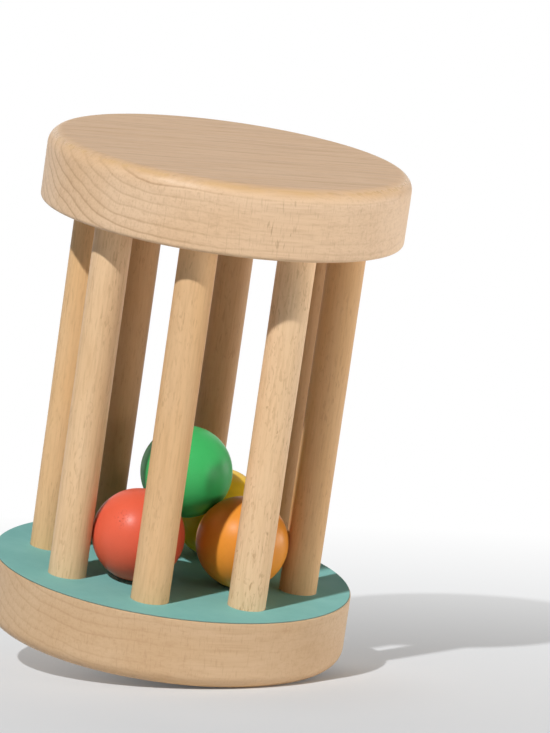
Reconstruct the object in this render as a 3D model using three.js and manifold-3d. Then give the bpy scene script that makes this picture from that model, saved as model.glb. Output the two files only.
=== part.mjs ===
// A baby's rattle roller: two round wooden discs joined by a ring of dowels,
// with loose painted balls caged between them.
// Millimetres, +Z up along the roller's axis. The origin is the centre of the lower disc's outer face.
import * as THREE from "three";
import { mergeVertices } from "three/addons/utils/BufferGeometryUtils.js";
import Module from "manifold-3d";

// Driving dimensions of the discs
const DISC_DIAMETER = 96;
const DISC_THICKNESS = 18.5; // the lower disc's includes its paint
const OUTER_EDGE_RADIUS = 4; // round-over on the outer faces, which a child grips
const BARE_EDGE_RADIUS = 1.5; // eased edge on the bare face that looks into the cage
const PAINTED_EDGE_RADIUS = 0.8; // eased edge on the painted face that looks into the cage
const PAINT_THICKNESS = 0.3; // coloured coat on the lower disc's inner face

// Driving dimensions of the cage
const CAGE_HEIGHT = 95.5; // clear height between the two inner faces
const DOWEL_COUNT = 8;
const DOWEL_DIAMETER = 10;
const DOWEL_END_CHAMFER = 0.8;
const RIM_MARGIN = 9; // from a dowel's outer side to the disc's rim
const SOCKET_FLOOR = 6.5; // wood left between a socket and the outer face
const SOCKET_CLEARANCE = 0.15; // glue film round a dowel
const GLUE_GAP = 0.3; // between a dowel's end and its socket's floor

// Driving dimensions of the balls
const BALL_DIAMETER = 24.5;
const BALL_CLEARANCE = 0.1; // gap from a ball to whatever it lies against

// Facets of the round forms
const DISC_SIDES = 72;
const OUTER_EDGE_STEPS = 4;
const INNER_EDGE_STEPS = 3;
const DOWEL_SIDES = 24;
const BALL_SIDES = 28;
const BALL_RINGS = 14;

// Finishes
const bareWood = (color) => new THREE.MeshStandardMaterial({ color, roughness: 0.6, metalness: 0 });
const satinPaint = (color) => new THREE.MeshStandardMaterial({ color, roughness: 0.42, metalness: 0 });

// Places that follow from the driving dimensions
const discRadius = DISC_DIAMETER / 2;
const dowelRadius = DOWEL_DIAMETER / 2;
const ballRadius = BALL_DIAMETER / 2;
const dowelCircleRadius = discRadius - RIM_MARGIN - dowelRadius;
const overallHeight = 2 * DISC_THICKNESS + CAGE_HEIGHT;
const cageFloor = DISC_THICKNESS;

const wasm = await Module();
wasm.setup();

// A closed geometry as a solid that can be cut.
function solidOf(geometry) {
  const bare = geometry.clone();
  bare.deleteAttribute("normal");
  bare.deleteAttribute("uv");
  const merged = mergeVertices(bare);
  return new wasm.Manifold(
    new wasm.Mesh({
      numProp: 3,
      vertProperties: merged.attributes.position.array,
      triVerts: new Uint32Array(merged.index.array),
    }),
  );
}

// A cut solid back as a geometry, with flat faces.
function geometryOf(solid) {
  const mesh = solid.getMesh();
  const indexed = new THREE.BufferGeometry();
  indexed.setAttribute("position", new THREE.BufferAttribute(mesh.vertProperties, mesh.numProp));
  indexed.setIndex(new THREE.BufferAttribute(mesh.triVerts, 1));
  const faceted = indexed.toNonIndexed();
  faceted.computeVertexNormals();
  return faceted;
}

// A profile of [radius, height] points turned about the Z axis.
function turned(profile, sides) {
  const points = profile.map(([radius, height]) => new THREE.Vector2(radius, height));
  return new THREE.LatheGeometry(points, sides).rotateX(Math.PI / 2);
}

// Profile points of a quarter circle about a centre, counted upwards from a start angle.
function quarterRound(centreRadius, centreHeight, edgeRadius, startAngle, steps) {
  return Array.from({ length: steps + 1 }, (_, step) => {
    const angle = startAngle + ((Math.PI / 2) * step) / steps;
    return [centreRadius + edgeRadius * Math.cos(angle), centreHeight + edgeRadius * Math.sin(angle)];
  });
}

// Directions round the cage, as angles from +X. Gap 0 faces +X, and dowel 0 stands after it.
const gapAngle = (gap) => (2 * Math.PI * gap) / DOWEL_COUNT;
const dowelAngle = (dowel) => gapAngle(dowel + 0.5);
const onCircle = (radius, angle) => new THREE.Vector2(radius * Math.cos(angle), radius * Math.sin(angle));

// A solid cut by a hole for each dowel, open upwards from a given height.
function withDowelHoles(solid, bottom) {
  const holeRadius = dowelRadius + SOCKET_CLEARANCE;
  let cut = solid;
  for (let dowel = 0; dowel < DOWEL_COUNT; dowel++) {
    const centre = onCircle(dowelCircleRadius, dowelAngle(dowel));
    const hole = new THREE.CylinderGeometry(holeRadius, holeRadius, overallHeight, DOWEL_SIDES)
      .rotateX(Math.PI / 2)
      .translate(centre.x, centre.y, bottom + overallHeight / 2);
    cut = cut.subtract(solidOf(hole));
  }
  return cut;
}

// A disc with its outer face at height 0 and its dowel sockets open in the inner face above.
function discGeometry(thickness, innerEdgeRadius) {
  const outerEdge = quarterRound(
    discRadius - OUTER_EDGE_RADIUS, OUTER_EDGE_RADIUS, OUTER_EDGE_RADIUS, -Math.PI / 2, OUTER_EDGE_STEPS);
  const innerEdge = quarterRound(
    discRadius - innerEdgeRadius, thickness - innerEdgeRadius, innerEdgeRadius, 0, INNER_EDGE_STEPS);
  const blank = turned([[0, 0], ...outerEdge, ...innerEdge, [0, thickness]], DISC_SIDES);
  return geometryOf(withDowelHoles(solidOf(blank), SOCKET_FLOOR));
}

// The coat of paint on a disc's flat inner face, pierced where the dowels stand.
function paintGeometry() {
  const radius = discRadius - PAINTED_EDGE_RADIUS;
  const coat = turned([[0, 0], [radius, 0], [radius, PAINT_THICKNESS], [0, PAINT_THICKNESS]], DISC_SIDES);
  return geometryOf(withDowelHoles(solidOf(coat), -PAINT_THICKNESS));
}

// A dowel with chamfered ends, standing on height 0.
function dowelGeometry(length) {
  const noseRadius = dowelRadius - DOWEL_END_CHAMFER;
  const profile = [
    [0, 0],
    [noseRadius, 0],
    [dowelRadius, DOWEL_END_CHAMFER],
    [dowelRadius, length - DOWEL_END_CHAMFER],
    [noseRadius, length],
    [0, length],
  ];
  return turned(profile, DOWEL_SIDES);
}

// A ball about its centre, with its poles up and down.
function ballGeometry() {
  return new THREE.SphereGeometry(ballRadius, BALL_SIDES, BALL_RINGS).rotateX(Math.PI / 2);
}

const roller = new THREE.Group();

function addPiece(name, geometry, material, x, y, z) {
  const piece = new THREE.Mesh(geometry, material);
  piece.name = name;
  piece.position.set(x, y, z);
  roller.add(piece);
  return piece;
}

// Discs, the upper one turned over so that the sockets of the two face each other
const lowerDisc = discGeometry(DISC_THICKNESS - PAINT_THICKNESS, PAINTED_EDGE_RADIUS);
addPiece("lower_disc", lowerDisc, bareWood(0xd0aa80), 0, 0, 0);
const upperDisc = addPiece(
  "upper_disc", discGeometry(DISC_THICKNESS, BARE_EDGE_RADIUS), bareWood(0xdcb991), 0, 0, overallHeight);
upperDisc.rotation.x = Math.PI;

// Painted floor of the cage
addPiece("lower_face_paint", paintGeometry(), satinPaint(0x7fb8ad), 0, 0, cageFloor - PAINT_THICKNESS);

// Dowels, each glued into a socket of either disc
const dowelFoot = SOCKET_FLOOR + GLUE_GAP;
const dowelLength = overallHeight - 2 * dowelFoot;
for (let dowel = 0; dowel < DOWEL_COUNT; dowel++) {
  const centre = onCircle(dowelCircleRadius, dowelAngle(dowel));
  addPiece(`dowel_${dowel + 1}`, dowelGeometry(dowelLength), bareWood(0xd8b07c), centre.x, centre.y, dowelFoot);
}

// Radius from the axis at which a ball nestles between two neighbouring dowels.
function nestRadius() {
  const reach = ballRadius + dowelRadius + BALL_CLEARANCE;
  const halfGap = dowelCircleRadius * Math.sin(gapAngle(0.5));
  const gapMiddle = dowelCircleRadius * Math.cos(gapAngle(0.5));
  return gapMiddle - Math.sqrt(Math.max(0, reach ** 2 - halfGap ** 2));
}

// Height at which a ball let down a column of the cage comes to rest, on the floor or on the balls below.
function restHeight(column, balls) {
  const spacing = BALL_DIAMETER + BALL_CLEARANCE;
  const floorHeight = cageFloor + BALL_CLEARANCE + ballRadius;
  const heights = balls.map((ball) => {
    const across = Math.hypot(ball.position.x - column.x, ball.position.y - column.y);
    return across < spacing ? ball.position.z + Math.sqrt(spacing ** 2 - across ** 2) : floorHeight;
  });
  return Math.max(floorHeight, ...heights);
}

// Loose balls, let down one after another: three in gaps a quarter turn apart, then one on top of them
const nestColumn = (quarter) => onCircle(nestRadius(), gapAngle(Math.round((quarter * DOWEL_COUNT) / 4)));
const ballPlan = [
  ["red_ball", 0xe5604c, nestColumn(-1)],
  ["yellow_ball", 0xe3cc2e, nestColumn(1)],
  ["orange_ball", 0xe8913a, nestColumn(0)],
  ["green_ball", 0x3fae63, new THREE.Vector2(0, 0)],
];
const balls = [];
for (const [name, colour, column] of ballPlan) {
  const height = restHeight(column, balls);
  balls.push(addPiece(name, ballGeometry(), satinPaint(colour), column.x, column.y, height));
}

export default roller;
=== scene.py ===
"""Looks of a wooden rattle roller: two beech discs, a ring of dowels and four loose painted balls.

Laid out as an add-on: settings, one operator for each group of like pieces, and a panel that lists them.
Everything is in metres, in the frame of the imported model, with +Z along the roller's axis.
"""
import math

import bmesh
import bpy
from bpy.props import FloatProperty, FloatVectorProperty, PointerProperty
from mathutils import Matrix, Vector, noise


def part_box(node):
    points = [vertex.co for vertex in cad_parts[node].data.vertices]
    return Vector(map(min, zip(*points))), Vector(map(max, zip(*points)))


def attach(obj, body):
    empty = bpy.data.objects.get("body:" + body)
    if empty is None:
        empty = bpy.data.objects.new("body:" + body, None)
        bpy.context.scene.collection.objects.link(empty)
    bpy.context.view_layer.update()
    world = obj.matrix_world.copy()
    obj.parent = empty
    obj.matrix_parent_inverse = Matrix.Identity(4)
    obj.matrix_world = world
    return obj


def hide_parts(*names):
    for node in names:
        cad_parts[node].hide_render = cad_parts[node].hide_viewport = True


bl_info = {
    "name": "Rattle Roller Toy",
    "version": (1, 0, 0),
    "blender": (4, 5, 0),
    "location": "View3D > Sidebar > Roller",
    "description": "Turned beech discs, dowels and painted balls of a rattle roller, with their stage",
    "category": "Add Mesh",
}

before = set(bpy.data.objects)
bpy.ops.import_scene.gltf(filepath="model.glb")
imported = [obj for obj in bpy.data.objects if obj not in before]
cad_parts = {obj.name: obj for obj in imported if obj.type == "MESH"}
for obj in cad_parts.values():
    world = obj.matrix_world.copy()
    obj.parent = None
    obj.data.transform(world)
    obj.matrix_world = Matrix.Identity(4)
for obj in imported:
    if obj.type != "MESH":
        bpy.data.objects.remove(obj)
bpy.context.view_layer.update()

MM = 0.001

# Places that the frame gives
UPPER_DISC_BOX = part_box("upper_disc")
DOWEL_NODES = sorted(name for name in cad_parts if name.startswith("dowel_"))
BALL_NODES = ("red_ball", "yellow_ball", "orange_ball", "green_ball")
DISC_RADIUS = UPPER_DISC_BOX[1].x
CAGE_TOP = UPPER_DISC_BOX[0].z
TOP_FACE = UPPER_DISC_BOX[1].z
LOWER_WOOD_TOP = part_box("lower_disc")[1].z
PAINT_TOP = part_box("lower_face_paint")[1].z
DOWEL_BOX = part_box(DOWEL_NODES[0])
DOWEL_RADIUS = (DOWEL_BOX[1].x - DOWEL_BOX[0].x) / 2
BALL_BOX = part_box(BALL_NODES[0])
BALL_RADIUS = (BALL_BOX[1].z - BALL_BOX[0].z) / 2


def centre_of(node):
    """Middle of a node of the frame."""
    low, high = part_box(node)
    return (low + high) / 2


DOWEL_AXES = [centre_of(node) for node in DOWEL_NODES]

# Grain of the discs' wood, as the photograph shows it, and the distance from the pith at which its rays
# have the width that is written for them
GRAIN_TURN = math.radians(51.6)
GRAIN_ALONG = Vector((math.cos(GRAIN_TURN), math.sin(GRAIN_TURN), 0.0))
GRAIN_ACROSS = Vector((math.sin(GRAIN_TURN), -math.cos(GRAIN_TURN), 0.0))
RAY_RADIUS = 75 * MM

# How each disc was cut from its board: where the pith lay, how far the board tilted about its grain, and how
# strongly the rings and rays show
LOWER_CUT = {
    "pith": GRAIN_ACROSS * 38 * MM + Vector((0.0, 0.0, 96 * MM)),
    "tilt": 0.02,
    "ring_strength": 0.31,
    "ray_strength": 0.12,
}
UPPER_CUT = {
    "pith": GRAIN_ACROSS * 43 * MM + Vector((0.0, 0.0, 196 * MM)),
    "tilt": -0.015,
    "ring_strength": 0.57,
    "ray_strength": 0.34,
}
UNTINTED = (1.0, 1.0, 1.0)

# How dark the wood is across one growth ring of a disc and one streak of a dowel, as (position, level)
RING_LEVELS = ((0.0, 0.3), (0.07, 0.0), (0.45, 0.05), (0.78, 0.3), (0.87, 1.0), (0.95, 1.0), (1.0, 0.35))
STREAK_LEVELS = ((0.0, 0.2), (0.1, 0.0), (0.6, 0.1), (0.92, 1.0), (1.0, 0.6))

# How warm each dowel's wood is, how far it goes to the deep tone, and how many rays it shows, in the order
# of the dowels' numbers. The deep tone is painted shade on dowels 1 to 4, on the +Y side, and partly their
# darker wood
DOWEL_WARMTH = (0.9, 0.5, 0.6, 0.6, 0.95, 0.2, 0.7, 0.1)
DOWEL_TONE_AND_SHADE = (0.3, 0.52, 0.46, 0.54, 0.0, 0.03, 0.14, 0.05)
DOWEL_FLECKS = (0.5, 0.4, 0.5, 0.6, 0.3, 0.5, 0.45, 1.0)

# Directions in which the balls' poles lie
BALL_POLES = {
    "red_ball": Vector((0.05, -0.87, 0.5)),
    "yellow_ball": Vector((0.5, 0.6, -0.6)),
    "orange_ball": Vector((0.6, -0.2, 0.75)),
    "green_ball": Vector((0.75, 0.5, 0.45)),
}

# Sheen and roughness of the finishes, and how the grain under the paint is drawn out along each axis
DISC_SHEEN = 0.2
DOWEL_SHEEN = 0.15
COAT_SHEEN = 0.12
COAT_ROUGHNESS = 0.6
COAT_GRAIN = (0.3, 1.0, 1.0)
BALL_SHEEN = 0.2
BALL_ROUGHNESS = 0.38
BALL_GRAIN = (1.0, 1.0, 0.06)

# The dark line that borders the paint, and how much of it and of the thin paint shows
BORDER_COLOUR = (0.12, 0.07, 0.035)
BORDER_SHARE = 0.5
THIN_SHARE = 0.25

# Fineness of the meshes
DISC_SIDES = 240
OUTER_EDGE_STEPS = 12
INNER_EDGE_STEPS = 6
DISC_SIDE_ROWS = 8
HOLE_SIDES = 56
PAINT_CORNER_STEPS = 3
DOWEL_SIDES = 56
DOWEL_ROWS = 60
BALL_SIDES = 96
BALL_STEP = math.radians(3.75)
POLE_STEP = math.radians(1.25)
POLE_REACH = math.radians(7.5)
FLOOR_SIDES = 96

# Small sizes of the meshes: the flat band beside an eased edge, the chamfer of a socket's mouth, the gaps
# under and round the coat of paint, its lip as shares of reach and height, the length over which a dowel
# swells, and the reach of the pits at a ball's pole
FLAT_BAND = 0.3 * MM
SOCKET_MOUTH = 0.2 * MM
COAT_GAP = 0.012 * MM
COAT_HOLE_GAP = 0.07 * MM
LIP_PROFILE = ((1.0, 0.0), (0.45, 0.2), (0.15, 0.6), (0.0, 1.0))
SWELL_LENGTH = 12 * MM
PIT_REACH = 3 * MM


# Settings

def length(name, description, metres):
    """A size that a user may change."""
    return FloatProperty(
        name=name, description=description, default=metres, min=0.0, precision=5, unit="LENGTH")


def colour(name, description, linear):
    """A colour that a user may change, as linear red, green and blue."""
    return FloatVectorProperty(
        name=name, description=description, default=linear, min=0.0, max=1.0, size=3, subtype="COLOR")


def amount(name, description, value, highest=1.0):
    """A plain number that a user may change."""
    return FloatProperty(name=name, description=description, default=value, min=0.0, max=highest)


class RollerDiscSettings(bpy.types.PropertyGroup):
    """Sizes and colours of the two turned discs."""

    outer_edge: length("Outer Edge", "Radius of the round-over on the outer faces", 4 * MM)
    inner_edge: length("Inner Edge", "Radius of the eased edge on the plain inner face", 1.1 * MM)
    painted_edge: length("Painted Edge", "Radius of the eased edge beside the paint", 0.3 * MM)
    socket_gap: length("Socket Gap", "Gap between a dowel and its socket", 0.15 * MM)
    socket_floor: length("Socket Floor", "Wood left between a socket and the outer face", 6.5 * MM)
    ring_spacing: length("Ring Spacing", "Width of one growth ring", 2.7 * MM)
    pale: colour("Pale Wood", "Early wood of the growth rings", (0.77, 0.55, 0.36))
    warm: colour("Warm Wood", "Broad warmer patches", (0.71, 0.48, 0.29))
    # Face wood is darker than the sides: partly the face grain's own tone, partly painted shade that keeps
    # the flat faces from looking more lit than the sides
    face: colour("Face Wood", "Wood of the flat faces", (0.71, 0.47, 0.28))
    late: colour("Late Wood", "Thin dark line that ends a growth ring", (0.36, 0.19, 0.085))
    fleck: colour("Flecks", "Short dark rays and pores", (0.30, 0.15, 0.07))
    rim: colour("Worn Rim", "Wood on the rounded edges", (0.68, 0.435, 0.215))
    lower_tint: colour("Lower Tint", "Share of those colours that the lower disc keeps", (0.80, 0.79, 0.745))


class RollerPaintSettings(bpy.types.PropertyGroup):
    """Sizes and colours of the painted cage floor."""

    teal: colour("Teal", "Paint of the cage floor", (0.206, 0.48, 0.45))
    worn: colour("Thin Paint", "Paint where it thins out at the dowels", (0.36, 0.55, 0.47))
    corner: length("Corner", "Radius of the paint's edge at the rim", 0.1 * MM)
    lip: length("Lip", "Height to which the paint creeps up a dowel", 0.1 * MM)
    lip_reach: length("Lip Reach", "Distance from a dowel at which the paint is flat", 0.7 * MM)


class RollerDowelSettings(bpy.types.PropertyGroup):
    """Sizes and colours of the eight dowels."""

    chamfer: length("Chamfer", "Chamfer of the dowels' ends", 0.8 * MM)
    unevenness: length("Unevenness", "How far the dowels depart from true round", 0.03 * MM)
    pale: colour("Pale Wood", "Early wood of the dowels", (0.79, 0.56, 0.345))
    warm: colour("Warm Wood", "Warmer dowels and streaks", (0.75, 0.475, 0.235))
    # Deep tone: painted shade on dowels 1 to 4, and partly a darker wood
    deep_tone_and_shade: colour("Deep Wood", "Tone towards which the deeper dowels go", (0.42, 0.205, 0.088))
    late: colour("Late Wood", "Dark streaks along the grain", (0.45, 0.26, 0.12))
    fleck: colour("Flecks", "Short dark rays", (0.36, 0.19, 0.085))


class RollerBallSettings(bpy.types.PropertyGroup):
    """Sizes and colours of the four balls."""

    pole_mark: length("Pole Mark", "Radius of the small hollow that turning leaves at a pole", 0.9 * MM)
    pole_depth: length("Pole Depth", "Depth of that hollow", 0.04 * MM)
    red: colour("Red", "Paint of the red ball", (0.735, 0.12, 0.062))
    yellow: colour("Yellow", "Paint of the yellow ball", (0.90, 0.57, 0.024))
    orange: colour("Orange", "Paint of the orange ball", (0.76, 0.28, 0.034))
    green: colour("Green", "Paint of the green ball", (0.05, 0.45, 0.125))


class RollerStageSettings(bpy.types.PropertyGroup):
    """Light and floor."""

    key: amount("Key Light", "Strength of the sun", 3.1, 10.0)
    key_size: FloatProperty(
        name="Key Size", description="Angle that the sun spans", default=math.radians(1.8), subtype="ANGLE")
    side: amount("Side Panel", "Power of the soft light at the right, in watts", 11.0, 50.0)
    side_tint: colour("Side Tint", "Colour of the soft light at the right", (1.0, 0.96, 0.91))
    fill: amount("Fill Light", "Strength of the even light all round", 0.01)
    floor: colour("Floor", "Colour of the floor", (0.74, 0.757, 0.775))


# Meshes

def ring(bm, radius, height, sides, centre=Vector((0, 0, 0))):
    """A closed ring of points about an upright axis."""
    points = []
    for side in range(sides):
        angle = math.tau * side / sides
        points.append(bm.verts.new(
            (centre.x + radius * math.cos(angle), centre.y + radius * math.sin(angle), height)))
    return points


def skin(bm, first, second):
    """Faces between two rings with as many points."""
    for side, point in enumerate(first):
        after = (side + 1) % len(first)
        bm.faces.new((point, first[after], second[after], second[side]))


def cap(bm, points, height, centre=Vector((0, 0, 0))):
    """Faces from a ring to one point on its axis."""
    tip = bm.verts.new((centre.x, centre.y, height))
    for side, point in enumerate(points):
        bm.faces.new((point, points[(side + 1) % len(points)], tip))


def turn(bm, profile, sides, centre=Vector((0, 0, 0))):
    """Rings for a profile of (radius, height) points, with faces between them."""
    rings = [ring(bm, radius, height, sides, centre) for radius, height in profile]
    for first, second in zip(rings, rings[1:]):
        skin(bm, first, second)
    return rings


def arc(radius, height, edge, start, end, steps):
    """Profile points of an arc about (radius, height), between two angles from outwards."""
    angles = [start + (end - start) * step / steps for step in range(steps + 1)]
    return [(radius + edge * math.cos(angle), height + edge * math.sin(angle)) for angle in angles]


def fill_face(bm, outline, holes):
    """Flat faces between a ring and the rings of the holes in it."""
    edges = []
    for points in [outline, *holes]:
        for side, point in enumerate(points):
            edges.append(bm.edges.get((point, points[(side + 1) % len(points)])))
    bmesh.ops.triangle_fill(bm, use_beauty=True, use_dissolve=False, edges=edges)


def piece_from(bm, name, material):
    """An object with smooth faces that point outwards."""
    bmesh.ops.recalc_face_normals(bm, faces=bm.faces)
    mesh = bpy.data.meshes.new(name)
    bm.to_mesh(mesh)
    bm.free()
    mesh.shade_smooth()
    mesh.materials.append(material)
    piece = bpy.data.objects.new(name, mesh)
    bpy.context.scene.collection.objects.link(piece)
    return piece


def mark(piece, name, strength):
    """Keeps strength(place, normal) on each point of a piece, for its material to read."""
    layer = piece.data.attributes.new(name, "FLOAT", "POINT")
    for point, item in zip(piece.data.vertices, layer.data):
        item.value = strength(point.co, point.normal)


def stand_for(piece, node, body):
    """Puts a piece in place of a node of the frame."""
    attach(piece, body)
    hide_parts(node)


def nearest_dowel(place):
    """Distance from a place to the nearest dowel's axis."""
    return min(math.hypot(place.x - axis.x, place.y - axis.y) for axis in DOWEL_AXES)


# Materials

class Finish:
    """A material's nodes, with short calls for the kinds that these finishes need."""

    def __init__(self, name):
        self.material = bpy.data.materials.new(name)
        self.material.use_nodes = True
        self.tree = self.material.node_tree
        self.tree.nodes.clear()
        self.output = self.node("ShaderNodeOutputMaterial")

    def node(self, kind, **settings):
        """A new node of a kind, with its settings."""
        made = self.tree.nodes.new(kind)
        for name, value in settings.items():
            setattr(made, name, value)
        return made

    def feed(self, socket, value):
        """Links a socket to an output, or sets it to a plain value."""
        if isinstance(value, bpy.types.NodeSocket):
            self.tree.links.new(value, socket)
        elif socket.type == "RGBA":
            socket.default_value = (*value, 1.0)
        else:
            socket.default_value = value

    def place(self):
        """Places on a piece, in its own axes."""
        return self.node("ShaderNodeTexCoord").outputs["Object"]

    def grain_place(self, location, rotation):
        """Places measured from a point, along turned axes."""
        mapping = self.node("ShaderNodeMapping", vector_type="TEXTURE")
        self.feed(mapping.inputs["Vector"], self.place())
        mapping.inputs["Location"].default_value = location
        mapping.inputs["Rotation"].default_value = rotation
        return mapping.outputs["Vector"]

    def drawn_out(self, place, share):
        """Places whose first axis counts less, so that a pattern runs long along it."""
        return self.vectors("MULTIPLY", place, (share, 1.0, 1.0))

    def mark(self, name):
        """The strength that a piece keeps on its points under a name."""
        return self.node("ShaderNodeAttribute", attribute_name=name).outputs["Fac"]

    def maths(self, operation, first, second=0.0):
        """An operation on two numbers."""
        made = self.node("ShaderNodeMath", operation=operation)
        self.feed(made.inputs[0], first)
        self.feed(made.inputs[1], second)
        return made.outputs[0]

    def vectors(self, operation, first, second=(0.0, 0.0, 0.0)):
        """An operation on two places."""
        made = self.node("ShaderNodeVectorMath", operation=operation)
        self.feed(made.inputs[0], first)
        self.feed(made.inputs[1], second)
        return made.outputs["Value" if operation == "LENGTH" else "Vector"]

    def noise(self, place, size, detail=2.0, distortion=0.0):
        """Soft noise whose blotches are about size across, from 0 to 1."""
        made = self.node("ShaderNodeTexNoise")
        self.feed(made.inputs["Vector"], place)
        made.inputs["Scale"].default_value = 1.0 / size
        made.inputs["Detail"].default_value = detail
        made.inputs["Distortion"].default_value = distortion
        return made.outputs["Fac"]

    def span(self, value, low, high, to_low=0.0, to_high=1.0):
        """A value eased from one span to another, and held at its ends."""
        made = self.node("ShaderNodeMapRange", interpolation_type="SMOOTHSTEP")
        self.feed(made.inputs["Value"], value)
        made.inputs["From Min"].default_value = low
        made.inputs["From Max"].default_value = high
        made.inputs["To Min"].default_value = to_low
        made.inputs["To Max"].default_value = to_high
        return made.outputs["Result"]

    def ramp(self, value, stops):
        """A grey level for each stop of (position, level)."""
        made = self.node("ShaderNodeValToRGB")
        self.feed(made.inputs["Fac"], value)
        elements = made.color_ramp.elements
        while len(elements) < len(stops):
            elements.new(1.0)
        for element, (position, level) in zip(elements, stops):
            element.position = position
            element.color = (level, level, level, 1.0)
        return made.outputs["Color"]

    def mix(self, share, first, second):
        """Two colours mixed, with this share of the second."""
        made = self.node("ShaderNodeMix", data_type="RGBA")
        self.feed(made.inputs["Factor"], share)
        self.feed(made.inputs[6], first)
        self.feed(made.inputs[7], second)
        return made.outputs[2]

    def bump(self, height, distance):
        """Normals of a relief whose height of 1 is this distance."""
        made = self.node("ShaderNodeBump")
        made.inputs["Distance"].default_value = distance
        self.feed(made.inputs["Height"], height)
        return made.outputs["Normal"]

    def surface(self, base, roughness, normal, sheen):
        """The shader, fed with what varies over the surface."""
        shader = self.node("ShaderNodeBsdfPrincipled")
        self.feed(shader.inputs["Base Color"], base)
        self.feed(shader.inputs["Roughness"], roughness)
        self.feed(shader.inputs["Normal"], normal)
        shader.inputs["Specular IOR Level"].default_value = sheen
        self.tree.links.new(shader.outputs["BSDF"], self.output.inputs["Surface"])
        return self.material


def disc_beech(name, settings, tint, pith, tilt, ring_strength, ray_strength):
    """Oiled beech cut from a board: growth rings about a pith, fibres, rays, worn rims, and flat faces in a
    darker tone that is partly painted shade.
    """
    finish = Finish(name)
    tones = (settings.pale, settings.warm, settings.face)
    pale, warm, face = (tuple(part * share for part, share in zip(tone, tint)) for tone in tones)
    place = finish.grain_place(pith, (tilt, 0.0, GRAIN_TURN))
    flat = finish.mark("flat")
    end_grain = finish.mark("end_grain")
    on_side = finish.maths("SUBTRACT", 1.0, flat)

    # Growth rings that waver along the grain, each with a strength of its own
    waver = finish.maths("MULTIPLY", finish.noise(finish.drawn_out(place, 0.12), 24 * MM), 6 * MM)
    ripple = finish.maths("MULTIPLY", finish.noise(finish.drawn_out(place, 0.3), 5 * MM), 0.9 * MM)
    from_pith = finish.vectors("LENGTH", finish.vectors("MULTIPLY", place, (0.0, 1.0, 1.0)))
    radius = finish.maths("ADD", finish.maths("ADD", from_pith, waver), ripple)
    rings = finish.maths("DIVIDE", radius, settings.ring_spacing)
    own = finish.node("ShaderNodeTexWhiteNoise", noise_dimensions="1D")
    finish.feed(own.inputs["W"], finish.maths("FLOOR", rings))
    line = finish.ramp(finish.maths("FRACT", rings), RING_LEVELS)
    late = finish.maths("MULTIPLY", line, finish.span(own.outputs["Value"], 0.0, 1.0, 0.35, 1.0))
    late = finish.maths("MULTIPLY", late, finish.span(end_grain, 0.15, 0.85, 0.28, 1.0))
    late = finish.maths("MULTIPLY", late, finish.span(on_side, 0.0, 1.0, 0.35, 1.0))

    # Fibres and streaks along the grain, broad tones, and pores on the flat faces
    fibre = finish.noise(finish.drawn_out(place, 0.03), 0.6 * MM, 3.0)
    streaks = finish.span(finish.noise(finish.drawn_out(place, 0.04), 1.6 * MM, 2.0), 0.45, 0.75)
    tone = finish.noise(finish.drawn_out(place, 0.2), 26 * MM)
    pores = finish.span(finish.noise(finish.drawn_out(place, 0.1), 0.5 * MM, 1.0), 0.6, 0.72)
    pores = finish.maths("MULTIPLY", pores, flat)

    # Rays that run out from the pith: hairlines all round the side, and short cracks in places
    split = finish.node("ShaderNodeSeparateXYZ")
    finish.feed(split.inputs[0], place)
    round_pith = finish.maths("ARCTAN2", split.outputs["Y"], split.outputs["Z"])
    ray_place = finish.node("ShaderNodeCombineXYZ")
    finish.feed(ray_place.inputs["X"], split.outputs["X"])
    finish.feed(ray_place.inputs["Y"], finish.maths("MULTIPLY", round_pith, RAY_RADIUS))
    finish.feed(ray_place.inputs["Z"], finish.maths("MULTIPLY", from_pith, 0.1))
    hairlines = finish.span(finish.noise(ray_place.outputs[0], 0.3 * MM, 1.0), 0.55, 0.75)
    cracks = finish.span(finish.noise(ray_place.outputs[0], 0.5 * MM, 0.0, 0.6), 0.68, 0.75)
    cracks = finish.maths("MULTIPLY", cracks, finish.span(finish.noise(place, 9 * MM), 0.55, 0.62))
    cracks = finish.maths("MULTIPLY", cracks, finish.mark("rays"))
    rays = finish.maths("MULTIPLY", cracks, ray_strength)
    rays = finish.maths("ADD", rays, finish.maths("MULTIPLY", hairlines, 0.18))
    rays = finish.maths("MULTIPLY", rays, on_side)

    # Colour, from the broad tones to the flecks, and then the worn rim. The face tone on the flat faces is
    # partly painted shade
    base = finish.mix(finish.span(tone, 0.35, 0.65), pale, warm)
    # Flat faces take the darker face tone: partly their own grain, partly painted shade
    base = finish.mix(flat, base, face)
    base = finish.mix(finish.span(fibre, 0.45, 0.85, 0.0, 0.25), base, settings.late)
    streaks = finish.maths("MULTIPLY", streaks, finish.span(flat, 0.0, 1.0, 0.13, 0.24))
    base = finish.mix(streaks, base, settings.late)
    base = finish.mix(finish.maths("MULTIPLY", late, ring_strength), base, settings.late)
    base = finish.mix(finish.maths("MULTIPLY", pores, 0.2), base, settings.fleck)
    base = finish.mix(rays, base, settings.fleck)
    wear = finish.mark("wear")
    blotches = finish.span(finish.noise(finish.drawn_out(place, 0.4), 4 * MM), 0.32, 0.62, 0.1, 0.85)
    base = finish.mix(finish.maths("MULTIPLY", wear, blotches), base, settings.rim)

    # Relief of the fibres, pores and rays, and a rim that wear has polished
    height = finish.maths("SUBTRACT", fibre, finish.maths("MULTIPLY", finish.maths("ADD", pores, rays), 0.6))
    dull = finish.span(fibre, 0.3, 0.8, 0.42, 0.56)
    roughness = finish.maths("SUBTRACT", dull, finish.maths("MULTIPLY", wear, 0.21))
    return finish.surface(base, roughness, finish.bump(height, 0.06 * MM), DISC_SHEEN)


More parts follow.
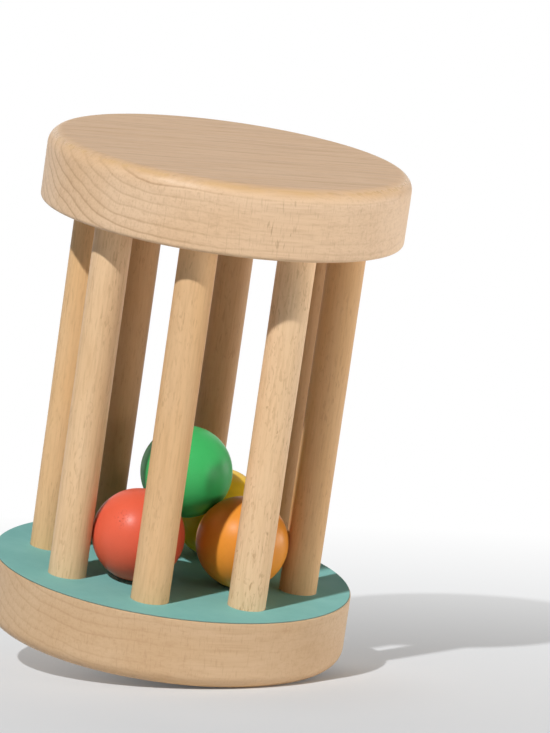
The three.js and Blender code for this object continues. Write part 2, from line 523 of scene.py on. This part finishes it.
def dowel_beech(name, settings):
    """Oiled beech along the grain: long streaks and short dark rays, with each dowel in its own tone and
    painted shade on dowels 1 to 4.
    """
    finish = Finish(name)
    place = finish.grain_place((0.0, 0.0, 0.0), (0.0, -math.pi / 2, 0.0))

    # Streaks, fibres and pores along the grain
    bands = finish.noise(finish.drawn_out(place, 0.04), 5 * MM, 1.0)
    lines = finish.ramp(finish.maths("FRACT", finish.maths("MULTIPLY", bands, 7.0)), STREAK_LEVELS)
    fibre = finish.noise(finish.drawn_out(place, 0.07), 0.5 * MM, 3.0)
    pores = finish.span(finish.noise(finish.drawn_out(place, 0.17), 0.45 * MM, 0.0, 0.3), 0.63, 0.76)

    # Rays in patches, and wavy ones on the dowels that show the most
    rays = finish.span(finish.noise(finish.drawn_out(place, 0.3), 0.75 * MM, 1.0, 0.8), 0.6, 0.72)
    patches = finish.span(finish.noise(finish.drawn_out(place, 0.3), 5 * MM), 0.35, 0.65, 0.25, 1.0)
    flecks = finish.mark("flecks")
    rays = finish.maths("MULTIPLY", rays, finish.maths("MULTIPLY", patches, flecks))
    waves = finish.span(finish.noise(finish.drawn_out(place, 0.42), 1.5 * MM, 1.0, 1.6), 0.62, 0.72)
    waves = finish.maths("MULTIPLY", waves, finish.span(flecks, 0.5, 1.0, 0.0, 0.45))
    rays = finish.maths("MAXIMUM", rays, waves)

    # Colour, from the dowel's own tone and painted shade to the flecks
    tone = finish.noise(finish.drawn_out(place, 0.2), 9 * MM)
    warmth = finish.maths("ADD", finish.mark("warmth"), finish.span(tone, 0.3, 0.7, -0.2, 0.2))
    base = finish.mix(warmth, settings.pale, settings.warm)
    # The depth mark darkens dowels 1 to 4 towards the deep tone: painted shade, and partly their darker wood
    base = finish.mix(finish.mark("depth"), base, settings.deep_tone_and_shade)
    base = finish.mix(finish.maths("MULTIPLY", lines, 0.12), base, settings.late)
    base = finish.mix(finish.span(fibre, 0.42, 0.78, 0.0, 0.25), base, settings.late)
    pores = finish.maths("MULTIPLY", pores, patches)
    base = finish.mix(finish.maths("MULTIPLY", pores, 0.3), base, settings.fleck)
    base = finish.mix(finish.maths("MULTIPLY", rays, 0.52), base, settings.fleck)

    # Relief and gloss
    height = finish.maths("SUBTRACT", fibre, finish.maths("MULTIPLY", rays, 0.6))
    roughness = finish.span(fibre, 0.3, 0.8, 0.48, 0.6)
    return finish.surface(base, roughness, finish.bump(height, 0.05 * MM), DOWEL_SHEEN)


def satin_paint(name, paint, grain, roughness, sheen, worn=None):
    """Paint that lets the wood's grain show a little.

    With a worn colour it thins out where a piece is marked bare, and darkens where it is marked as a border.
    Without one it is pitted where a piece is marked as a pole.
    """
    finish = Finish(name)
    place = finish.place()
    cloud = finish.noise(place, 7 * MM)
    lines = finish.noise(finish.vectors("MULTIPLY", place, grain), 0.8 * MM, 2.0)
    peel = finish.noise(place, 0.35 * MM, 1.0)
    deeper = tuple(0.82 * part for part in paint)
    base = finish.mix(finish.span(cloud, 0.3, 0.7, 0.0, 0.2), paint, deeper)
    base = finish.mix(finish.span(lines, 0.5, 0.8, 0.0, 0.25), base, deeper)
    height = finish.maths("ADD", finish.maths("MULTIPLY", peel, 0.4), finish.maths("MULTIPLY", lines, 0.6))
    if worn is None:
        pits = finish.span(finish.noise(place, 0.45 * MM, 0.0), 0.66, 0.72)
        pitted = finish.maths("MULTIPLY", pits, finish.mark("pole"))
        base = finish.mix(finish.maths("MULTIPLY", pitted, 0.55), base, tuple(0.3 * part for part in paint))
        height = finish.maths("SUBTRACT", height, finish.maths("MULTIPLY", pitted, 3.0))
    else:
        base = finish.mix(finish.mark("bare"), base, worn)
        base = finish.mix(finish.mark("border"), base, BORDER_COLOUR)
    gloss = finish.span(cloud, 0.3, 0.7, roughness - 0.05, roughness + 0.05)
    return finish.surface(base, gloss, finish.bump(height, 0.025 * MM), sheen)


# Discs

def disc_mesh(thickness, inner_edge, settings):
    """A disc on its outer face, with a blind socket for each dowel in the inner face above."""
    bm = bmesh.new()
    outer_flat = DISC_RADIUS - settings.outer_edge
    inner_flat = DISC_RADIUS - inner_edge
    side_bottom = settings.outer_edge
    side_top = thickness - inner_edge
    profile = [(outer_flat / 2, 0.0), (outer_flat - FLAT_BAND, 0.0)]
    profile += arc(outer_flat, side_bottom, settings.outer_edge, -math.pi / 2, 0.0, OUTER_EDGE_STEPS)
    for row in range(1, DISC_SIDE_ROWS):
        profile.append((DISC_RADIUS, side_bottom + (side_top - side_bottom) * row / DISC_SIDE_ROWS))
    profile += arc(inner_flat, side_top, inner_edge, 0.0, math.pi / 2, INNER_EDGE_STEPS)
    profile.append((inner_flat - FLAT_BAND, thickness))
    rings = turn(bm, profile, DISC_SIDES)
    cap(bm, rings[0], 0.0)
    socket = DOWEL_RADIUS + settings.socket_gap
    mouths = []
    for axis in DOWEL_AXES:
        hole = turn(bm, [
            (socket + SOCKET_MOUTH + FLAT_BAND, thickness),
            (socket + SOCKET_MOUTH, thickness),
            (socket, thickness - SOCKET_MOUTH),
            (socket, settings.socket_floor),
        ], HOLE_SIDES, axis)
        cap(bm, hole[-1], settings.socket_floor, axis)
        mouths.append(hole[0])
    fill_face(bm, rings[-1], mouths)
    return bm


def mark_disc(disc, outer_face, settings):
    """Marks a disc's worn rim, its flat faces, and the sides that show end grain and rays."""
    def wear(place, normal):
        on_edge = abs(place.z - outer_face) < settings.outer_edge
        return math.sin(math.pi * abs(normal.z) ** 3) ** 2 if on_edge else 0.0

    mark(disc, "wear", wear)
    mark(disc, "flat", lambda place, normal: normal.z ** 2)
    mark(disc, "end_grain", lambda place, normal: max(0.0, -normal.dot(GRAIN_ALONG)))
    mark(disc, "rays", lambda place, normal: max(0.0, normal.dot(GRAIN_ACROSS)) ** 4)


class ROLLER_OT_discs(bpy.types.Operator):
    """Builds the two turned beech discs with their sockets"""

    bl_idname = "roller.discs"
    bl_label = "Discs"

    def execute(self, context):
        settings = context.scene.roller_discs
        lower = piece_from(
            disc_mesh(LOWER_WOOD_TOP, settings.painted_edge, settings), "turned_lower_disc",
            disc_beech("lower disc beech", settings, settings.lower_tint, **LOWER_CUT))
        mark_disc(lower, 0.0, settings)
        stand_for(lower, "lower_disc", "cage")

        bm = disc_mesh(TOP_FACE - CAGE_TOP, settings.inner_edge, settings)
        turned_over = Matrix.Translation((0.0, 0.0, TOP_FACE)) @ Matrix.Rotation(math.pi, 4, "X")
        bmesh.ops.transform(bm, matrix=turned_over, verts=bm.verts)
        upper = piece_from(
            bm, "turned_upper_disc", disc_beech("upper disc beech", settings, UNTINTED, **UPPER_CUT))
        mark_disc(upper, TOP_FACE, settings)
        stand_for(upper, "upper_disc", "cage")
        return {"FINISHED"}


# Painted face

def coat_mesh(settings, edge, hole):
    """The coat of paint, out to a rim at edge, with a lip round each dowel's hole."""
    bottom = LOWER_WOOD_TOP + COAT_GAP
    corner = settings.corner
    bm = bmesh.new()
    profile = [(edge - FLAT_BAND, PAINT_TOP)]
    profile += arc(edge - corner, PAINT_TOP - corner, corner, math.pi / 2, 0.0, PAINT_CORNER_STEPS)
    profile += [(edge, bottom), (edge - FLAT_BAND, bottom)]
    rings = turn(bm, profile, DISC_SIDES)
    lip_profile = [(hole + settings.lip_reach + FLAT_BAND, PAINT_TOP)]
    for reach, rise in LIP_PROFILE:
        lip_profile.append((hole + settings.lip_reach * reach, PAINT_TOP + settings.lip * rise))
    lip_profile.append((hole, bottom))
    lips = [turn(bm, lip_profile, HOLE_SIDES, axis) for axis in DOWEL_AXES]
    fill_face(bm, rings[0], [lip[0] for lip in lips])
    fill_face(bm, rings[-1], [lip[-1] for lip in lips])
    return bm


def mark_coat(coat, settings, edge, hole):
    """Marks where the coat thins out at the dowels, and the line at its rim."""
    def bareness(place, normal):
        return THIN_SHARE * max(0.0, 1.0 - (nearest_dowel(place) - hole) / settings.lip_reach)

    def bordering(place, normal):
        return BORDER_SHARE if math.hypot(place.x, place.y) > edge - FLAT_BAND / 4 else 0.0

    mark(coat, "bare", bareness)
    mark(coat, "border", bordering)


class ROLLER_OT_painted_face(bpy.types.Operator):
    """Builds the coat of paint on the cage floor, which creeps up the dowels a little"""

    bl_idname = "roller.painted_face"
    bl_label = "Painted Face"

    def execute(self, context):
        settings = context.scene.roller_paint
        edge = DISC_RADIUS - context.scene.roller_discs.painted_edge
        hole = DOWEL_RADIUS + COAT_HOLE_GAP
        material = satin_paint(
            "teal paint", settings.teal, COAT_GRAIN, COAT_ROUGHNESS, COAT_SHEEN, settings.worn)
        coat = piece_from(coat_mesh(settings, edge, hole), "teal_coat", material)
        mark_coat(coat, settings, edge, hole)
        stand_for(coat, "lower_face_paint", "cage")
        return {"FINISHED"}


# Dowels

def dowel_mesh(axis, settings):
    """A dowel with chamfered ends, swelling and narrowing a little along its length."""
    foot, top = DOWEL_BOX[0].z, DOWEL_BOX[1].z
    low, high = foot + settings.chamfer, top - settings.chamfer
    nose = DOWEL_RADIUS - settings.chamfer
    row_height = (high - low) / DOWEL_ROWS
    profile = [(nose, foot)]
    profile += [(DOWEL_RADIUS, low + row_height * row) for row in range(DOWEL_ROWS + 1)]
    profile.append((nose, top))
    bm = bmesh.new()
    rings = turn(bm, profile, DOWEL_SIDES, axis)
    for point in bm.verts:
        out = Vector((point.co.x - axis.x, point.co.y - axis.y, 0.0)).normalized()
        along = point.co.z / SWELL_LENGTH
        swell = noise.noise(Vector((out.x + axis.x / MM, out.y + axis.y / MM, along)))
        point.co += out * swell * settings.unevenness
    cap(bm, rings[0], foot, axis)
    cap(bm, rings[-1], top, axis)
    return bm


def mark_dowel(dowel, number):
    """Marks a dowel's own tone, the painted shade of dowels 1 to 4, and its figure."""
    mark(dowel, "warmth", lambda place, normal: DOWEL_WARMTH[number])
    # The depth mark is painted shade on dowels 1 to 4, and partly darker wood
    mark(dowel, "depth", lambda place, normal: DOWEL_TONE_AND_SHADE[number])
    mark(dowel, "flecks", lambda place, normal: DOWEL_FLECKS[number])


class ROLLER_OT_dowels(bpy.types.Operator):
    """Builds the eight dowels, each a little uneven and in its own tone, with painted shade on dowels 1 to 4
    """

    bl_idname = "roller.dowels"
    bl_label = "Dowels"

    def execute(self, context):
        settings = context.scene.roller_dowels
        material = dowel_beech("dowel beech", settings)
        for number, (node, axis) in enumerate(zip(DOWEL_NODES, DOWEL_AXES)):
            dowel = piece_from(dowel_mesh(axis, settings), "beech_" + node, material)
            mark_dowel(dowel, number)
            stand_for(dowel, node, "cage")
        return {"FINISHED"}


# Balls

def ball_angles():
    """Angles from one pole of a ball to the other, closer together near the poles."""
    angles = []
    angle = POLE_STEP
    while angle < math.pi - POLE_STEP / 2:
        angles.append(angle)
        leaving_pole = angle < POLE_REACH - POLE_STEP / 2
        nearing_pole = angle > math.pi - POLE_REACH - POLE_STEP / 2
        angle += POLE_STEP if leaving_pole or nearing_pole else BALL_STEP
    return angles


def ball_mesh(settings):
    """A ball about the origin, with a small hollow at each pole."""
    profile = []
    for angle in ball_angles():
        radius, height = BALL_RADIUS * math.sin(angle), BALL_RADIUS * math.cos(angle)
        hollow = max(0.0, 1.0 - (radius / settings.pole_mark) ** 2) * settings.pole_depth
        profile.append((radius, height - math.copysign(hollow, height)))
    bm = bmesh.new()
    rings = turn(bm, profile, BALL_SIDES)
    cap(bm, rings[0], BALL_RADIUS - settings.pole_depth)
    cap(bm, rings[-1], settings.pole_depth - BALL_RADIUS)
    return bm


def pole_nearness(place, normal):
    """1 at a ball's poles, falling to 0 where the pits end."""
    return max(0.0, 1.0 - math.hypot(place.x, place.y) / PIT_REACH)


class ROLLER_OT_balls(bpy.types.Operator):
    """Builds the four painted balls, turned between centres that leave a small mark at each pole"""

    bl_idname = "roller.balls"
    bl_label = "Balls"

    def execute(self, context):
        settings = context.scene.roller_balls
        for node in BALL_NODES:
            hue = node.removesuffix("_ball")
            paint = tuple(getattr(settings, hue))
            material = satin_paint(hue + " paint", paint, BALL_GRAIN, BALL_ROUGHNESS, BALL_SHEEN)
            ball = piece_from(ball_mesh(settings), "painted_" + node, material)
            mark(ball, "pole", pole_nearness)
            pole = BALL_POLES[node].to_track_quat("Z", "Y")
            ball.matrix_world = Matrix.Translation(centre_of(node)) @ pole.to_matrix().to_4x4()
            stand_for(ball, node, node)
        return {"FINISHED"}


# Stage: the camera fitted to the discs and dowels of the photograph, its light and its floor
PHOTO_WIDTH = 550
PHOTO_HEIGHT = 733
FOCAL_PIXELS = 4518.31
SENSOR = 36.0
CAMERA_ELEVATION = math.radians(12.637)
CAMERA_AZIMUTH = math.radians(29.632)
CAMERA_ROLL = math.radians(8.302)
CAMERA_DISTANCE = 1192.81 * MM
AIM_HEIGHT = 70.737 * MM
AIM_PIXEL = (199.636, 378.845)
KEY_AZIMUTH = math.radians(84.6)
KEY_ELEVATION = math.radians(45)
PANEL_AZIMUTH = math.radians(13)
PANEL_ELEVATION = math.radians(6)
PANEL_DISTANCE = 0.8
PANEL_WIDTH = 2.4
PANEL_HEIGHT = 0.22
FLOOR_LEAN = math.radians(10.5)
FLOOR_LEAN_AZIMUTH = math.radians(157)
FLOOR_RADIUS = 8.0

# How the floor fades to white: distances in metres on the floor, and shares of white. Near the roller the
# white glow is painted light that lifts the floor's shadows, and by the contact it is held back as painted
# shade
FADE_CENTRE = (0.02, -0.09, 0.0)
FADE_START = 0.03
FADE_END = 0.45
FADE_LEAST = 0.19
PAINTED_CONTACT_SHADE_REACH = 0.06
GLOW_IN_PAINTED_CONTACT_SHADE = 0.12


def direction(azimuth, elevation):
    """A direction from its angle round the roller's axis and its angle above the level."""
    return Vector((
        math.cos(elevation) * math.cos(azimuth),
        math.cos(elevation) * math.sin(azimuth),
        math.sin(elevation)))


def camera_axes():
    """The camera's right, up and back directions."""
    back = direction(CAMERA_AZIMUTH - math.pi / 2, CAMERA_ELEVATION)
    level = Vector((math.cos(CAMERA_AZIMUTH), math.sin(CAMERA_AZIMUTH), 0.0))
    upright = back.cross(level)
    right = math.cos(CAMERA_ROLL) * level + math.sin(CAMERA_ROLL) * upright
    up = math.cos(CAMERA_ROLL) * upright - math.sin(CAMERA_ROLL) * level
    return right, up, back


def from_axes(right, up, back, place):
    """A matrix with these directions as its columns."""
    turned = Matrix((right, up, back)).transposed()
    return Matrix.Translation(place) @ turned.to_4x4()


def add_camera():
    """The camera, whose middle is moved aside so that the roller falls where it is in the photograph."""
    right, up, back = camera_axes()
    metres_per_pixel = CAMERA_DISTANCE / FOCAL_PIXELS
    aside = (AIM_PIXEL[0] - PHOTO_WIDTH / 2) * metres_per_pixel
    above = (PHOTO_HEIGHT / 2 - AIM_PIXEL[1]) * metres_per_pixel
    place = Vector((0.0, 0.0, AIM_HEIGHT)) + CAMERA_DISTANCE * back - aside * right - above * up
    data = bpy.data.cameras.new("camera")
    data.sensor_width = SENSOR
    data.lens = FOCAL_PIXELS * SENSOR / PHOTO_HEIGHT
    camera = bpy.data.objects.new("camera", data)
    camera.matrix_world = from_axes(right, up, back, place)
    bpy.context.scene.collection.objects.link(camera)
    bpy.context.scene.camera = camera


def add_lamp(data, place, shining):
    """A lamp at a place that shines along a direction."""
    lamp = bpy.data.objects.new(data.name, data)
    lamp.location = place
    lamp.rotation_mode = "QUATERNION"
    lamp.rotation_quaternion = shining.to_track_quat("-Z", "Y")
    bpy.context.scene.collection.objects.link(lamp)
    return lamp


def add_key_light(settings):
    """A sun in front, whose azimuth is the way that its light travels."""
    data = bpy.data.lights.new("key_sun", "SUN")
    data.energy = settings.key
    data.angle = settings.key_size
    add_lamp(data, (0.0, 0.0, 0.0), direction(KEY_AZIMUTH, -KEY_ELEVATION))


def add_side_panel(settings):
    """A broad soft light at the right, about level with the roller."""
    data = bpy.data.lights.new("side_panel", "AREA")
    data.shape = "RECTANGLE"
    data.size = PANEL_WIDTH
    data.size_y = PANEL_HEIGHT
    data.energy = settings.side
    data.color = settings.side_tint
    towards = direction(PANEL_AZIMUTH, PANEL_ELEVATION)
    panel = add_lamp(data, Vector((0.0, 0.0, AIM_HEIGHT)) + PANEL_DISTANCE * towards, -towards)
    panel.visible_camera = False


def seen_rays(nodes, links):
    """1 on the rays that show the background itself: from the camera, in gloss and through glass."""
    path = nodes.new("ShaderNodeLightPath")
    total = path.outputs["Is Camera Ray"]
    for kind in ("Is Glossy Ray", "Is Transmission Ray"):
        either = nodes.new("ShaderNodeMath")
        either.operation = "MAXIMUM"
        links.new(total, either.inputs[0])
        links.new(path.outputs[kind], either.inputs[1])
        total = either.outputs[0]
    return total


def add_world(settings):
    """A dim even light all round, and white where the background is seen."""
    world = bpy.data.worlds.new("even light")
    world.use_nodes = True
    nodes, links = world.node_tree.nodes, world.node_tree.links
    nodes.clear()
    output = nodes.new("ShaderNodeOutputWorld")
    mix = nodes.new("ShaderNodeMixShader")
    fill = nodes.new("ShaderNodeBackground")
    fill.inputs["Strength"].default_value = settings.fill
    white = nodes.new("ShaderNodeBackground")
    for background in (fill, white):
        background.inputs["Color"].default_value = (1.0, 1.0, 1.0, 1.0)
    links.new(seen_rays(nodes, links), mix.inputs[0])
    links.new(fill.outputs[0], mix.inputs[1])
    links.new(white.outputs[0], mix.inputs[2])
    links.new(mix.outputs[0], output.inputs["Surface"])
    bpy.context.scene.world = world


def floor_material(settings, contact):
    """Pale matt floor that fades to white and is not seen from below. Its glow is painted light that lifts
    its shadows, held back as painted shade that is darkest by the contact.
    """
    finish = Finish("pale floor")
    nodes, links = finish.tree.nodes, finish.tree.links
    matt = finish.node("ShaderNodeBsdfDiffuse")
    finish.feed(matt.inputs["Color"], settings.floor)
    # Glow seen by the camera: a white backdrop far out, painted light on the floor's shadows near the roller
    backdrop_and_painted_glow = finish.node("ShaderNodeEmission")
    away = finish.vectors("LENGTH", finish.vectors("SUBTRACT", finish.place(), FADE_CENTRE))
    fade = finish.node("ShaderNodeMapRange")
    finish.feed(fade.inputs["Value"], away)
    fade.inputs["From Min"].default_value = FADE_START
    fade.inputs["From Max"].default_value = FADE_END
    fade.inputs["To Min"].default_value = FADE_LEAST
    # Less glow near the contact: painted shade
    from_contact = finish.vectors("LENGTH", finish.vectors("SUBTRACT", finish.place(), contact))
    outside_painted_contact_shade = finish.span(from_contact, 0.0, PAINTED_CONTACT_SHADE_REACH, GLOW_IN_PAINTED_CONTACT_SHADE, 1.0)
    glowing = finish.maths("MULTIPLY", fade.outputs["Result"], outside_painted_contact_shade)
    seen = finish.maths("MULTIPLY", glowing, seen_rays(nodes, links))
    blended = finish.node("ShaderNodeMixShader")
    finish.feed(blended.inputs[0], seen)
    links.new(matt.outputs[0], blended.inputs[1])
    links.new(backdrop_and_painted_glow.outputs[0], blended.inputs[2])
    clear = finish.node("ShaderNodeBsdfTransparent")
    below = finish.node("ShaderNodeMixShader")
    finish.feed(below.inputs[0], finish.node("ShaderNodeNewGeometry").outputs["Backfacing"])
    links.new(blended.outputs[0], below.inputs[1])
    links.new(clear.outputs[0], below.inputs[2])
    links.new(below.outputs[0], finish.output.inputs["Surface"])
    return finish.material


def add_floor(settings):
    """A floor that meets the lower disc's rounded edge, leaning as the roller leans in the photograph."""
    edge = bpy.context.scene.roller_discs.outer_edge
    normal = direction(FLOOR_LEAN_AZIMUTH, math.pi / 2 - FLOOR_LEAN)
    reach = edge * math.cos(FLOOR_LEAN) - (DISC_RADIUS - edge) * math.sin(FLOOR_LEAN) - edge
    back = camera_axes()[2]
    away = (-back + normal * back.dot(normal)).normalized()
    bm = bmesh.new()
    bmesh.ops.create_circle(bm, cap_ends=True, segments=FLOOR_SIDES, radius=FLOOR_RADIUS)
    mesh = bpy.data.meshes.new("floor")
    bm.to_mesh(mesh)
    bm.free()
    floor = bpy.data.objects.new("floor", mesh)
    floor.matrix_world = from_axes(away.cross(normal), away, normal, normal * reach)
    downhill = Vector((-normal.x, -normal.y, 0.0)).normalized()
    contact = downhill * (DISC_RADIUS - edge) + Vector((0.0, 0.0, edge)) - normal * edge
    mesh.materials.append(floor_material(settings, floor.matrix_world.inverted() @ contact))
    bpy.context.scene.collection.objects.link(floor)


class ROLLER_OT_stage(bpy.types.Operator):
    """Sets up the camera, the light and the floor"""

    bl_idname = "roller.stage"
    bl_label = "Stage"

    def execute(self, context):
        settings = context.scene.roller_stage
        context.scene.view_settings.view_transform = "Standard"
        add_camera()
        add_key_light(settings)
        add_side_panel(settings)
        add_world(settings)
        add_floor(settings)
        return {"FINISHED"}


# Add-on

SETTINGS = {
    "roller_discs": RollerDiscSettings,
    "roller_paint": RollerPaintSettings,
    "roller_dowels": RollerDowelSettings,
    "roller_balls": RollerBallSettings,
    "roller_stage": RollerStageSettings,
}


class VIEW3D_PT_roller(bpy.types.Panel):
    """Lists the roller's pieces and their settings"""

    bl_label = "Rattle Roller"
    bl_idname = "VIEW3D_PT_roller"
    bl_space_type = "VIEW_3D"
    bl_region_type = "UI"
    bl_category = "Roller"

    def draw(self, context):
        operators = ("roller.discs", "roller.painted_face", "roller.dowels", "roller.balls", "roller.stage")
        for operator, group in zip(operators, SETTINGS):
            box = self.layout.box()
            box.operator(operator)
            for name in SETTINGS[group].__annotations__:
                box.prop(getattr(context.scene, group), name)


CLASSES = (
    *SETTINGS.values(),
    ROLLER_OT_discs,
    ROLLER_OT_painted_face,
    ROLLER_OT_dowels,
    ROLLER_OT_balls,
    ROLLER_OT_stage,
    VIEW3D_PT_roller,
)


def register():
    """Makes the settings, operators and panel known."""
    for item in CLASSES:
        bpy.utils.register_class(item)
    for name, group in SETTINGS.items():
        setattr(bpy.types.Scene, name, PointerProperty(type=group))


def unregister():
    """Takes them away again."""
    for name in SETTINGS:
        delattr(bpy.types.Scene, name)
    for item in reversed(CLASSES):
        bpy.utils.unregister_class(item)


def main():
    """Builds the roller and its stage."""
    register()
    bpy.ops.roller.discs()
    bpy.ops.roller.painted_face()
    bpy.ops.roller.dowels()
    bpy.ops.roller.balls()
    bpy.ops.roller.stage()


if __name__ == "__main__":
    main()
